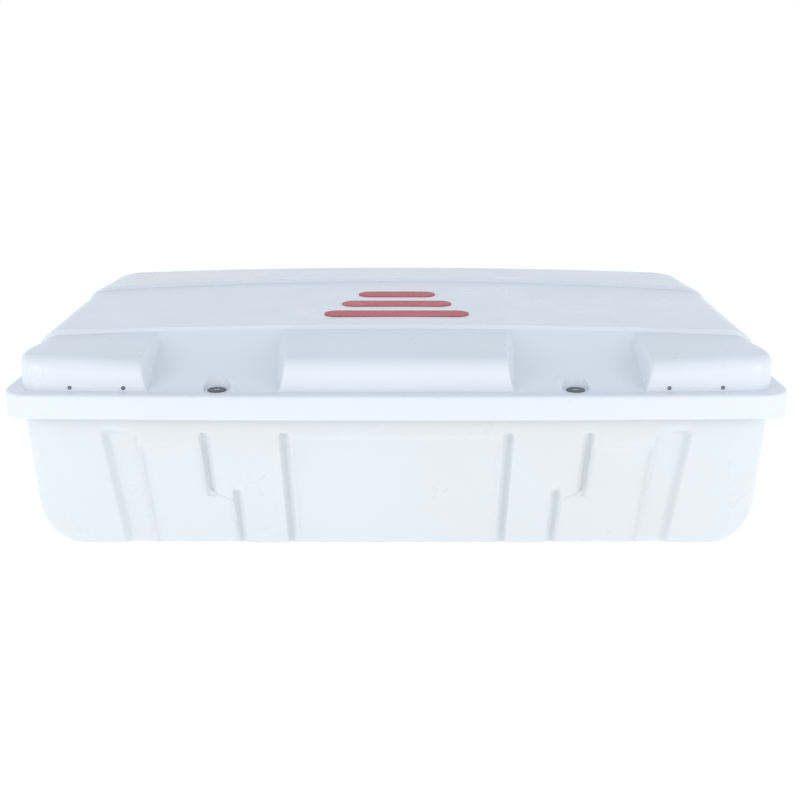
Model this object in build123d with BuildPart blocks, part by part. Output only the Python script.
"""Hard roof cargo box: a flanged tub and a hinged lid, with locks, stays, braces and mounting plates.

X runs across the box, -Y is the front (the lock side), +Z is up, and z = 0 is the tub's underside.
"""
from build123d import *
from math import atan2, cos, radians, sin, tan
import os

os.makedirs("parts", exist_ok=True)

# Driving dimensions, in millimetres and degrees
width = 1500.0
depth = 900.0
wall = 4.0
hinge_reach = 6.0                    # how far the rear hinges stand out behind the lid's skirt
front = -depth / 2
rear = depth / 2 - hinge_reach
bow = 13.0                           # bulge of the front edge in plan

# Tub: drafted walls that flare out into a rim with a turned-down lip
tub_top = 300.0
draft = 4.3
side_draft = 1.75
tub_inset = 27.0                     # from the lid's skirt to the tub's front and back at the rim
tub_inset_side = 23.0
tub_corner_top = 66.0
tub_corner_base = 118.0
base_round_side = 72.0
base_round_front = 12.0
rim_gap = 3.0                        # clear space between the rim's lip and the skirt
rim_lip = 26.0

# Lid: a skirt band, a flat shelf and the stepped top
band_top = 313.0
band_height = 47.0
band_corner = 62.0
band_edge = 6.0
lid_inset = 29.0
lid_corner = 50.0
crown_radius = 18000.0
ridge_front = -250.0                 # y of the first step
ridge_rear = 200.0                   # y of the second step
slope_z = 378.0
step_1 = (400.0, 409.0)
step_2 = (415.0, 421.5)
lid_top = 424.0
front_round = 40.0
side_round = 40.0
rear_round = 36.0
recess_inner = 215.0
recess_outer = 476.0

# Locks
lock_x = 341.0
lock_y = front + 45.0
bezel_r = 18.0
barrel_r = 8.0
plug_r = 6.0
scoop_r = 25.0
run_fit = 0.05

# Hinges
hinge_xs = {"left": -430.0, "center": 0.0, "right": 430.0}
hinge_y = rear + 2.0
hinge_z = 258.0
knuckle_r = 4.0
pin_r = 2.0
knuckle_length = 26.0
leaf_thick = 2.0

# Lid stays: the arm pivots one arm length from the hinge axis, so it turns twice as far as the lid
arm_length = 220.0
pivot_angle = 5.0
rail_angle = 14.0
lid_opening = 65.0
arm_x = 694.5
arm_thick = 2.5
rail_x = 699.5
rail_thick = 2.5
stud_r = 4.0
slot_gap = 0.2

# Braces, floor plates and fasteners
brace_x = 568.0
brace_rivet_pitch = 102.0
brace_z = 320.0
plate_x = 450.0
plate_slot_y = 250.0
plate_size = (96.0, 600.0, 3.0)
land_rise = 8.0
slot_r = 4.5
slot_length = 60.0
rivet_head_r = 5.5
rivet_r = 2.4
rivet_hole = 2.9
rivet_head = 2.0
rivet_tail = 1.4                     # how much wider the set tail is than the shank
small_head_r = 4.5
brace_head_r = 3.8

middle = (front + rear) / 2
lean = tan(radians(draft))
side_lean = tan(radians(side_draft))
floor_top = land_rise + wall
skirt_bottom = band_top - band_height
shelf_bottom = band_top - wall
lid_front = front + lid_inset
lid_rear = rear - lid_inset
lid_half = width / 2 - lid_inset
ramp_lean = (step_1[0] - band_top) / (ridge_front - lid_front)


def outline(z, half_x, y_front, y_rear, radius, bulge):
    """Plan outline at height z, with rounded corners and a bowed front edge."""
    with BuildSketch(Plane.XY.offset(z)) as plan:
        with BuildLine():
            ThreePointArc((-half_x, y_front + bulge), (0, y_front), (half_x, y_front + bulge))
            Polyline((half_x, y_front + bulge), (half_x, y_rear),
                     (-half_x, y_rear), (-half_x, y_front + bulge))
        make_face()
        fillet(vertices(), radius)
    return plan.sketch


def tub_half(z):
    return width / 2 - tub_inset_side - (tub_top - z) * side_lean


def tub_front(z, x=0.0):
    """y of the tub's front face, bowed at the rim and straight at the base."""
    bulge = 1 + (bow - 1) * z / tub_top
    return front + tub_inset + (tub_top - z) * lean + bulge * (x / tub_half(z)) ** 2


def tub_rear(z):
    return rear - tub_inset - (tub_top - z) * lean


def flutes(x_low, x_high, z_low, z_high, width_low, width_high, sunk, gap):
    """Upright channels to cut from the front and rear faces, left and right of the centre."""
    cuts = []
    for side in (-1, 1):
        for face in (tub_front, lambda z, x: tub_rear(z)):
            with BuildPart() as flute:
                for x, z, across in ((x_low, z_low, width_low), (x_high, z_high, width_high)):
                    with BuildSketch(Plane.XY.offset(z)):
                        with Locations((side * x, face(z, x))):
                            Rectangle(across + 2 * gap, 2 * (sunk + gap))
                loft(ruled=True)
            cuts.append(flute.part)
    return cuts


def flute_cuts(gap):
    """The wide channel by each corner and the three narrow grooves on each half."""
    return (flutes(499.5, 532.5, -wall, 236, 51, 67, 12, gap) + flutes(356, 366, 99, 229, 15, 15, 9, gap)
            + flutes(298, 310, -wall, 112, 15, 15, 9, gap) + flutes(202, 216, -wall, 229, 15, 15, 9, gap))


def tub_form(gap):
    """Solid form of the tub, drawn in by gap on every face but the top."""
    with BuildPart() as form:
        loft([outline(z, tub_half(z) - gap, tub_front(z) + gap, tub_rear(z) - gap, corner - gap, bulge)
              for z, corner, bulge in ((gap, tub_corner_base, 1.0), (tub_top, tub_corner_top, bow))],
             ruled=True)
        with BuildSketch(Plane.XZ):
            low, high = tub_half(0) - gap + 1, tub_half(tub_top) - gap + 1
            with BuildLine():
                Polyline((-low, gap), (low, gap), (high, tub_top), (-high, tub_top), close=True)
            make_face()
            fillet(vertices().group_by(Axis.Y)[0], base_round_side - gap)
        extrude(amount=depth, both=True, mode=Mode.INTERSECT)
        with BuildSketch(Plane.YZ):
            with BuildLine():
                Polyline((tub_front(0) + gap - 0.5, gap), (tub_rear(0) - gap + 0.5, gap),
                         (tub_rear(tub_top) - gap + 0.5, tub_top), (tub_front(tub_top) + gap - 0.5, tub_top),
                         close=True)
            make_face()
            fillet(vertices().group_by(Axis.Y)[0], base_round_front - gap)
        extrude(amount=width, both=True, mode=Mode.INTERSECT)
        for cut in flute_cuts(gap):
            add(cut, mode=Mode.SUBTRACT)
        with BuildSketch():
            with Locations((-plate_x, middle), (plate_x, middle)):
                Rectangle(plate_size[0] + 24 + 2 * gap, plate_size[1] + 24 + 2 * gap)
        extrude(amount=land_rise + gap, mode=Mode.SUBTRACT)
    return form.part


def lid_form(gap):
    """Solid form of the lid above its shelf, drawn in by gap on every face but the bottom."""
    bottom = shelf_bottom - 2 * wall if gap else shelf_bottom
    with BuildPart() as form:
        with BuildSketch(Plane.YZ):
            with BuildLine():
                l1 = Line((lid_front - 0.5, bottom - 20), (lid_front - 0.5, slope_z - front_round))
                RadiusArc(l1 @ 1, (lid_front + front_round, slope_z), front_round)
                Polyline((lid_front + front_round, slope_z), (ridge_front, step_1[0]),
                         (ridge_front + 4, step_1[1]), (ridge_rear, step_2[0]), (ridge_rear + 3, step_2[1]),
                         (lid_rear - rear_round, lid_top), (lid_rear + 0.5, lid_top - rear_round),
                         (lid_rear + 0.5, bottom - 20), l1 @ 0)
            make_face()
            if gap:
                offset(amount=-gap, kind=Kind.INTERSECTION)
        revolve(axis=Axis((0, 0, lid_top - crown_radius), (0, 1, 0)), revolution_arc=3)
        mirror(about=Plane.YZ)
        plan = outline(bottom, lid_half - gap, lid_front + gap, lid_rear - gap, lid_corner - gap, bow)
        extrude(plan, amount=lid_top, mode=Mode.INTERSECT)
        with BuildSketch(Plane.XZ):
            edge, shoulder = lid_half + 0.5 - gap, lid_top - 20 - side_round
            with BuildLine():
                Line((0, bottom), (edge, bottom))
                Line((edge, bottom), (edge, shoulder - gap))
                RadiusArc((edge, shoulder - gap), (edge - side_round, lid_top - 20 - gap), -side_round)
                Polyline((edge - side_round, lid_top - 20 - gap), (edge - 110, lid_top + 1 - gap),
                         (edge - 110, lid_top + 20), (0, lid_top + 20), (0, bottom))
            make_face()
            mirror(about=Plane.YZ)
        extrude(amount=depth, both=True, mode=Mode.INTERSECT)
        low = band_top - gap / cos(atan2(ramp_lean, 1))
        for side in (-1, 1):
            start = side * (recess_inner + recess_outer) / 2
            with BuildSketch(Plane.YZ.offset(start)):
                with BuildLine():
                    Polyline((lid_front - 10, low - 10 * ramp_lean), (lid_front, low),
                             (ridge_front - 2, low + (ridge_front - 2 - lid_front) * ramp_lean),
                             (ridge_front - 2, lid_top + 10), (lid_front - 10, lid_top + 10), close=True)
                make_face()
            extrude(amount=(recess_outer - recess_inner) / 2 + gap, both=True, mode=Mode.SUBTRACT)
        with BuildSketch(Plane.XY.offset(band_top - gap)):
            with Locations((-lock_x, lock_y), (lock_x, lock_y)):
                Circle(scoop_r + gap)
        extrude(amount=lid_top, mode=Mode.SUBTRACT)
    return form.part


tub_outer = tub_form(0)
tub_inner = tub_form(wall)
lid_outer = lid_form(0)
lid_inner = lid_form(wall)

sides = {"left": -1, "right": 1}
brace_rivet_xs = [s * brace_x + t * brace_rivet_pitch / 2 for s in (-1, 1) for t in (-1, 1)]
bracket_z = 238.0
bracket_rivet_pitch = 60.0
bracket_rivet_xs = [x + t * bracket_rivet_pitch / 2 for x in hinge_xs.values() for t in (-1, 1)]
leaf_z = 285.0
leaf_rivet_z = 292.0
leaf_rivet_xs = [x + t for x in hinge_xs.values() for t in (-28, 0, 28)]
plate_rivets = [(s * plate_x + 38 * t, middle + y) for s in (-1, 1) for t in (-1, 1)
                for y in (-plate_size[1] / 2 + 14, 0, plate_size[1] / 2 - 14)]
slot_places = [(s * plate_x, middle + t * plate_slot_y) for s in (-1, 1) for t in (-1, 1)]
cam_z = 283.0
cam_thick = 3.0
cam_reach = 34.0
cam_wide = 13.0
cam_hub_r = 9.0
drive_square = 7.0                    # the plug's square end, which turns the cam
striker_x = 26.0                      # from the lock to the middle of its striker
striker_rivet_z = cam_z - 11
striker_rivet_pitch = 12.0
block_rivet_pitch = 22.0
emblem_y = -40.0
emblem_stripes = ((300.0, -105.0), (235.0, 0.0), (170.0, 105.0))    # length and place of each stripe
emblem_wide = 58.0

# Places along the stays, seen from the side with the hinge axis as the centre
pivot_y = hinge_y - arm_length * cos(radians(pivot_angle))
pivot_z = hinge_z + arm_length * sin(radians(pivot_angle))
stud_closed = 2 * arm_length * cos(radians(rail_angle - pivot_angle))
stud_open = 2 * arm_length * cos(radians(rail_angle + lid_opening - pivot_angle))
rail_feet = ((stud_closed - 10, -27.0), (stud_closed / 2, 28.0), (stud_open + 16, 31.0))
arm_wide = 18.0


def rail_point(along, up):
    """y and z of a point on the closed rail: along it from the hinge axis, and square to it."""
    turn = radians(rail_angle)
    return (hinge_y - along * cos(turn) + up * sin(turn), hinge_z + along * sin(turn) + up * cos(turn))


def finish(name, solid):
    """Label one piece and write it to its own file."""
    solid.label = name
    export_step(solid, "parts/" + name + ".step")


def facing(x, y, z, direction):
    return Plane(origin=(x, y, z), z_dir=direction)


def on_rear_wall(x, z, proud=0.0):
    """A plane on the tub's rear wall at height z, stood off it by proud."""
    return facing(x, tub_rear(z) + proud, z, (0, cos(radians(draft)), -sin(radians(draft))))


def on_front_wall(x, z):
    return facing(x, tub_front(z, x), z, (0, -cos(radians(draft)), -sin(radians(draft))))


def rivets(name, planes, grip, head_r=rivet_head_r):
    """One node of identical dome rivets: the head stands on each plane, the tail is behind the grip."""
    with BuildPart() as shape:
        with BuildSketch():
            Circle(head_r)
        extrude(amount=rivet_head)
        fillet(shape.edges().group_by(Axis.Z)[-1], rivet_head - 0.4)
        with BuildSketch():
            Circle(rivet_r)
        extrude(amount=-grip)
        with BuildSketch(Plane.XY.offset(-grip)):
            Circle(rivet_tail * rivet_r)
        extrude(amount=-1.5)
    finish(name, Compound(children=[plane.location * shape.part for plane in planes]))


# Tub: the shell in its rim, with slots and rivet holes in the raised floor lands
with BuildPart() as tub:
    for lip, height, mode in ((wall + rim_gap, rim_lip, Mode.ADD),
                              (2 * wall + rim_gap, rim_lip - wall, Mode.SUBTRACT)):
        extrude(outline(tub_top - rim_lip, width / 2 - lip, front + lip, rear - lip, band_corner - lip, bow),
                amount=height, mode=mode)
    add(tub_outer)
    add(tub_inner, mode=Mode.SUBTRACT)
    with BuildSketch():
        with Locations(slot_places):
            SlotOverall(slot_length, 2 * slot_r)
        with Locations(plate_rivets):
            Circle(rivet_hole)
    extrude(amount=floor_top, mode=Mode.SUBTRACT)
    for x in bracket_rivet_xs:
        with BuildSketch(on_rear_wall(x, bracket_z)):
            Circle(rivet_hole)
        extrude(amount=2 * wall, both=True, mode=Mode.SUBTRACT)
    for s in sides.values():
        with BuildSketch(Plane.YZ.offset(s * (tub_half(pivot_z) + wall))):
            with Locations([(pivot_y + t * block_rivet_pitch / 2, pivot_z) for t in (-1, 1)]):
                Circle(rivet_hole)
        extrude(amount=-s * 4 * wall, mode=Mode.SUBTRACT)
        with BuildSketch(Plane.XZ.offset(-front)):
            with Locations([(s * (lock_x + striker_x + t * striker_rivet_pitch / 2), striker_rivet_z)
                            for t in (-1, 1)]):
                Circle(rivet_hole)
        extrude(amount=-15 * wall, mode=Mode.SUBTRACT)
finish("tub", tub.part)

# Rim seal: a rubber strip all round on top of the rim
with BuildPart() as rim_seal:
    seal_height = shelf_bottom - tub_top - 0.6
    inset = lip + 1
    extrude(outline(tub_top, width / 2 - inset, front + inset, rear - inset, band_corner - inset, bow),
            amount=seal_height)
    inset = lip + 12
    extrude(outline(tub_top, width / 2 - inset, front + inset, rear - inset, band_corner - inset, bow),
            amount=seal_height, mode=Mode.SUBTRACT)
    fillet(rim_seal.edges().group_by(Axis.Z)[-1], 3)
finish("rim_seal", rim_seal.part)

# Floor plates: ribbed strips inside the tub that spread the clamp load at the slots
for side, s in sides.items():
    with BuildPart() as floor_plate:
        with BuildSketch(Plane.XY.offset(floor_top)):
            with Locations((s * plate_x, middle)):
                RectangleRounded(plate_size[0], plate_size[1], 8)
            with Locations([place for place in slot_places if place[0] * s > 0]):
                SlotOverall(slot_length, 2 * slot_r, mode=Mode.SUBTRACT)
            with Locations([place for place in plate_rivets if place[0] * s > 0]):
                Circle(rivet_hole, mode=Mode.SUBTRACT)
        extrude(amount=plate_size[2])
        with BuildSketch(Plane.XY.offset(floor_top + plate_size[2])):
            with Locations((s * plate_x - 20, middle), (s * plate_x + 20, middle)):
                Rectangle(plate_size[2], 2 * plate_slot_y - 90)
        extrude(amount=7)
    finish("floor_plate_" + side, floor_plate.part)
rivets("floor_rivets", [facing(x, y, floor_top + plate_size[2], (0, 0, 1)) for x, y in plate_rivets],
       wall + plate_size[2])

# Lid: skirt, shelf, stepped top, and the holes for its locks and rivets
with BuildPart() as lid:
    extrude(outline(skirt_bottom, width / 2, front, rear, band_corner, bow), amount=band_height)
    fillet(lid.edges().group_by(Axis.Z)[-1], band_edge)
    extrude(outline(skirt_bottom, width / 2 - wall, front + wall, rear - wall, band_corner - wall, bow),
            amount=band_height - wall, mode=Mode.SUBTRACT)
    add(lid_outer)
    add(lid_inner, mode=Mode.SUBTRACT)
    with BuildSketch(Plane.XY.offset(shelf_bottom - wall)):
        with Locations((-lock_x, lock_y), (lock_x, lock_y)):
            Circle(barrel_r)
    extrude(amount=3 * wall, mode=Mode.SUBTRACT)
    for y in (front, lid_rear - 3 * wall):
        with BuildSketch(Plane.XZ.offset(-y)):
            with Locations([(x, brace_z) for x in brace_rivet_xs]):
                Circle(rivet_hole)
        extrude(amount=-lid_inset - 4 * wall, mode=Mode.SUBTRACT)
    with BuildSketch(Plane.XZ.offset(2 * wall - rear)):
        with Locations([(x, leaf_rivet_z) for x in leaf_rivet_xs]):
            Circle(rivet_hole)
    extrude(amount=-3 * wall, mode=Mode.SUBTRACT)
    for s in sides.values():
        with BuildSketch(Plane.YZ.offset(s * (lid_half - 2 * wall))):
            with Locations([rail_point(*place) for place in rail_feet]):
                Circle(rivet_hole)
        extrude(amount=s * 3 * wall, mode=Mode.SUBTRACT)
finish("lid", lid.part)

# Emblem: a plain raised oval on the lid's middle panel
with BuildPart() as emblem:
    rise = (step_2[0] - step_1[1]) / (ridge_rear - ridge_front - 4)
    with BuildSketch(Plane(origin=(0, emblem_y, step_1[1] + (emblem_y - ridge_front - 4) * rise),
                           x_dir=(1, 0, 0), z_dir=(0, -rise, 1))):
        for length, place in emblem_stripes:
            with Locations((0, place)):
                RectangleRounded(length, emblem_wide, emblem_wide / 2 - 1)
    extrude(amount=1.2)
finish("emblem", emblem.part)

# Braces: tubes across the lid from front to rear, on wide feet that follow its walls
for side, s in sides.items():
    with BuildPart() as lid_brace:
        with BuildSketch(Plane.XZ):
            with Locations((s * brace_x, brace_z)):
                RectangleRounded(32, 14, 3)
        extrude(amount=depth, both=True)
        for y in (lid_front + wall + bow * (brace_x / lid_half) ** 2, lid_rear - wall):
            with Locations((s * brace_x, y, brace_z)):
                Box(brace_rivet_pitch + 26, 6, 20)
        add(lid_inner, mode=Mode.INTERSECT)
        with BuildSketch(Plane.XZ.offset(-front)):
            with Locations([(x, brace_z) for x in brace_rivet_xs if x * s > 0]):
                Circle(rivet_hole)
        extrude(amount=-depth, mode=Mode.SUBTRACT)
    finish("lid_brace_" + side, lid_brace.part)
rivets("brace_rivets",
       [facing(x, lid_front + bow * (x / lid_half) ** 2, brace_z, (0, -1, 0)) for x in brace_rivet_xs]
       + [facing(x, lid_rear, brace_z, (0, 1, 0)) for x in brace_rivet_xs], wall + 5.5, brace_head_r)

# Hinges: a bracket on the tub's rear wall, a leaf on the skirt and a pin through the knuckles
for side, x in hinge_xs.items():
    with BuildPart() as hinge_bracket:
        with BuildSketch(Plane.YZ.offset(x - 1.5 * knuckle_length)):
            with BuildLine():
                Polyline((tub_rear(226), 226), (tub_rear(226) + leaf_thick, 226),
                         (tub_rear(254) + leaf_thick, 254), (hinge_y, 254), (hinge_y, 256),
                         (tub_rear(256), 256), close=True)
            make_face()
            with Locations((hinge_y, hinge_z)):
                Circle(knuckle_r)
        extrude(amount=3 * knuckle_length)
        with BuildSketch(Plane.YZ.offset(x - knuckle_length / 2 - 0.5)):
            with Locations((hinge_y, hinge_z)):
                Rectangle(2 * knuckle_r + 2, 2 * knuckle_r + 2)
        extrude(amount=knuckle_length + 1, mode=Mode.SUBTRACT)
        with BuildSketch(Plane.YZ.offset(x)):
            with Locations((hinge_y, hinge_z)):
                Circle(pin_r)
        extrude(amount=2 * knuckle_length, both=True, mode=Mode.SUBTRACT)
        for t in (-1, 1):
            with BuildSketch(on_rear_wall(x + t * bracket_rivet_pitch / 2, bracket_z)):
                Circle(rivet_hole)
            extrude(amount=2 * wall, both=True, mode=Mode.SUBTRACT)
    finish("hinge_bracket_" + side, hinge_bracket.part)

    with BuildPart() as hinge_leaf:
        with BuildSketch(Plane.XZ.offset(-rear)):
            with Locations((x, leaf_z)):
                RectangleRounded(3 * knuckle_length, 42, 5)
        extrude(amount=-leaf_thick)
        with BuildSketch(Plane.YZ.offset(x - knuckle_length / 2)):
            with Locations((hinge_y, hinge_z)):
                Circle(knuckle_r)
            with Locations((rear + leaf_thick / 2, hinge_z + 5)):
                Rectangle(leaf_thick, 10)
        extrude(amount=knuckle_length)
        with BuildSketch(Plane.YZ.offset(x)):
            with Locations((hinge_y, hinge_z)):
                Circle(pin_r + run_fit)
        extrude(amount=2 * knuckle_length, both=True, mode=Mode.SUBTRACT)
        with BuildSketch(Plane.XZ.offset(-rear)):
            with Locations([(x + t, leaf_rivet_z) for t in (-28, 0, 28)]):
                Circle(rivet_hole)
        extrude(amount=-leaf_thick, mode=Mode.SUBTRACT)
    finish("hinge_leaf_" + side, hinge_leaf.part)

    with BuildPart() as hinge_pin:
        with BuildSketch(Plane.YZ.offset(x - 1.5 * knuckle_length - 1)):
            with Locations((hinge_y, hinge_z)):
                Circle(pin_r)
        extrude(amount=3 * knuckle_length + 2)
    finish("hinge_pin_" + side, hinge_pin.part)
rivets("hinge_leaf_rivets", [facing(x, rear + leaf_thick, leaf_rivet_z, (0, 1, 0)) for x in leaf_rivet_xs],
       wall + leaf_thick + 0.2, small_head_r)
rivets("hinge_bracket_rivets",
       [on_rear_wall(x, bracket_z, leaf_thick / cos(radians(draft))) for x in bracket_rivet_xs],
       wall + leaf_thick + 0.2, small_head_r)

# Locks: a fixed body and nut on the lid, a turning plug with its cam, and a striker on the tub
for side, s in sides.items():
    x = s * lock_x
    with BuildPart() as lock_body:
        with BuildSketch(Plane.XY.offset(band_top)):
            with Locations((x, lock_y)):
                Circle(bezel_r)
        extrude(amount=2.5)
        fillet(lock_body.edges().group_by(Axis.Z)[-1], 1.2)
        with BuildSketch(Plane.XY.offset(cam_z + cam_thick + 0.5)):
            with Locations((x, lock_y)):
                Circle(barrel_r)
        extrude(amount=band_top - cam_z - cam_thick - 0.5)
        with BuildSketch(Plane.XY.offset(cam_z)):
            with Locations((x, lock_y)):
                Circle(plug_r + run_fit)
        extrude(amount=2 * band_height, mode=Mode.SUBTRACT)
    finish("lock_body_" + side, lock_body.part)

    with BuildPart() as lock_nut:
        with BuildSketch(Plane.XY.offset(shelf_bottom - 4)):
            with Locations((x, lock_y)):
                RegularPolygon(10, 6, major_radius=False)
                Circle(barrel_r, mode=Mode.SUBTRACT)
        extrude(amount=4)
    finish("lock_nut_" + side, lock_nut.part)

    with BuildPart() as lock_plug:
        with BuildSketch(Plane.XY.offset(cam_z + cam_thick)):
            with Locations((x, lock_y)):
                Circle(plug_r)
        extrude(amount=band_top + 2 - cam_z - cam_thick)
        with BuildSketch(Plane.XY.offset(cam_z)):
            with Locations((x, lock_y)):
                Rectangle(drive_square, drive_square)
        extrude(amount=cam_thick)
        with BuildSketch(Plane.XY.offset(band_top - 6)):
            with Locations((x, lock_y)):
                Rectangle(2, 8)
        extrude(amount=10, mode=Mode.SUBTRACT)
        with BuildSketch(Plane.XY.offset(cam_z)):
            with Locations((x, lock_y)):
                Circle(2)
        extrude(amount=8, mode=Mode.SUBTRACT)
    finish("lock_plug_" + side, lock_plug.part)

    with BuildPart() as lock_cam:
        with BuildSketch(Plane.XY.offset(cam_z)):
            with Locations((x, lock_y)):
                Circle(cam_hub_r)
            with Locations((x, lock_y + cam_reach / 2)):
                RectangleRounded(cam_wide, cam_reach, 5)
            with Locations((x, lock_y)):
                Rectangle(drive_square, drive_square, mode=Mode.SUBTRACT)
        extrude(amount=cam_thick)
    finish("lock_cam_" + side, lock_cam.part)

    with BuildPart() as cam_screw:
        with BuildSketch(Plane.XY.offset(cam_z)):
            with Locations((x, lock_y)):
                Circle(2)
        extrude(amount=8)
        with BuildSketch(Plane.XY.offset(cam_z - 3)):
            with Locations((x, lock_y)):
                Circle(6)
        extrude(amount=3)
        with BuildSketch(Plane.XY.offset(cam_z - 3)):
            with Locations((x, lock_y)):
                RegularPolygon(2, 6)
        extrude(amount=1.5, mode=Mode.SUBTRACT)
    finish("cam_screw_" + side, cam_screw.part)

    tongue_x = x + s * striker_x
    with BuildPart() as striker:
        with Locations((tongue_x, tub_front(cam_z, x) + wall, cam_z - 2)):
            Box(26, 5, 34)
        with Locations((tongue_x, tub_front(cam_z, x) + wall + 12, cam_z + cam_thick + 2.5)):
            Box(20, 24, 3)
        add(tub_inner, mode=Mode.INTERSECT)
        with BuildSketch(Plane.XZ.offset(-front)):
            with Locations([(tongue_x + t * striker_rivet_pitch / 2, striker_rivet_z) for t in (-1, 1)]):
                Circle(rivet_hole)
        extrude(amount=-depth / 6, mode=Mode.SUBTRACT)
    finish("striker_" + side, striker.part)
rivets("striker_rivets",
       [on_front_wall(s * (lock_x + striker_x + t * striker_rivet_pitch / 2), striker_rivet_z)
        for s in sides.values() for t in (-1, 1)], wall + 4, small_head_r)

# Stays: a block and pivot on the tub, an arm with its stud, and a slotted rail on the lid
for side, s in sides.items():
    with BuildPart() as stay_block:
        with Locations((s * (arm_x + 2.5 + 20), pivot_y, pivot_z)):
            Box(40, 36, 26)
        add(tub_inner, mode=Mode.INTERSECT)
        with BuildSketch(Plane.YZ.offset(s * arm_x)):
            with Locations((pivot_y, pivot_z)):
                Circle(3)
        extrude(amount=s * 14, mode=Mode.SUBTRACT)
        with BuildSketch(Plane.YZ.offset(s * arm_x)):
            with Locations([(pivot_y + t * block_rivet_pitch / 2, pivot_z) for t in (-1, 1)]):
                Circle(rivet_tail * rivet_r + 0.1)
        extrude(amount=s * 60, mode=Mode.SUBTRACT)
    finish("stay_block_" + side, stay_block.part)

    with BuildPart() as stay_pivot:
        for start, end, radius in ((2.5 + 10, 2.5, 3.0), (2.5, -arm_thick / 2 - 0.3, 4.0),
                                   (-arm_thick / 2 - 0.3, -arm_thick / 2 - 3, 7.0)):
            with BuildSketch(Plane.YZ.offset(s * (arm_x + end))):
                with Locations((pivot_y, pivot_z)):
                    Circle(radius)
            extrude(amount=s * (start - end))
    finish("stay_pivot_" + side, stay_pivot.part)

    stud_y, stud_z = rail_point(stud_closed, 0)
    tilt = 2 * rail_angle - pivot_angle
    with BuildPart() as stay_arm:
        with BuildSketch(Plane(origin=(s * arm_x, pivot_y, pivot_z),
                               x_dir=(0, -cos(radians(tilt)), sin(radians(tilt))), z_dir=(1, 0, 0))):
            with Locations((arm_length / 2, 0)):
                SlotCenterToCenter(arm_length, arm_wide)
            with Locations((0, 0)):
                Circle(4 + run_fit, mode=Mode.SUBTRACT)
            with Locations((arm_length, 0)):
                Circle(3, mode=Mode.SUBTRACT)
        extrude(amount=arm_thick / 2, both=True)
    finish("stay_arm_" + side, stay_arm.part)

    rail_back = rail_x - arm_x + rail_thick / 2 + 0.5
    with BuildPart() as stay_stud:
        for start, end, radius in ((-arm_thick / 2 - 1.5, -arm_thick / 2, 4.5),
                                   (-arm_thick / 2, arm_thick / 2, 3.0),
                                   (arm_thick / 2, arm_thick / 2 + 1, 6.5),
                                   (arm_thick / 2 + 1, rail_back, stud_r),
                                   (rail_back, rail_back + 2, 6.5)):
            with BuildSketch(Plane.YZ.offset(s * (arm_x + start))):
                with Locations((stud_y, stud_z)):
                    Circle(radius)
            extrude(amount=s * (end - start))
    finish("stay_stud_" + side, stay_stud.part)

    along = Plane(origin=(s * rail_x, hinge_y, hinge_z),
                  x_dir=(0, -cos(radians(rail_angle)), sin(radians(rail_angle))), z_dir=(1, 0, 0))
    with BuildPart() as stay_rail:
        with BuildSketch(along):
            with Locations(((stud_closed + stud_open) / 2, 0)):
                RectangleRounded(stud_closed - stud_open + 40, 30, 6)
            for reach, up in rail_feet:
                with Locations((reach, -up / 2)):
                    Rectangle(30, abs(up) + 20)
            with Locations(((stud_closed + stud_open) / 2, 0)):
                SlotCenterToCenter(stud_closed - stud_open, 2 * (stud_r + slot_gap), mode=Mode.SUBTRACT)
        extrude(amount=rail_thick / 2, both=True)
        with BuildSketch(along):
            for reach, up in rail_feet:
                with Locations((reach, -up)):
                    Rectangle(28, 18)
        extrude(amount=s * 40)
        add(lid_inner, mode=Mode.INTERSECT)
        with BuildSketch(Plane.YZ.offset(s * (rail_x - rail_thick))):
            with Locations([rail_point(*place) for place in rail_feet]):
                Circle(rivet_hole)
        extrude(amount=s * 40, mode=Mode.SUBTRACT)
    finish("stay_rail_" + side, stay_rail.part)
rivets("stay_block_rivets",
       [facing(s * (tub_half(pivot_z) + 0.35), pivot_y + t, pivot_z, (s, 0, 0))
        for s in sides.values() for t in (-block_rivet_pitch / 2, block_rivet_pitch / 2)],
       tub_half(pivot_z) - arm_x - 6.8, small_head_r)
rivets("stay_rail_rivets", [facing(s * lid_half, *rail_point(*place), (s, 0, 0))
                            for s in sides.values() for place in rail_feet], 23, small_head_r)
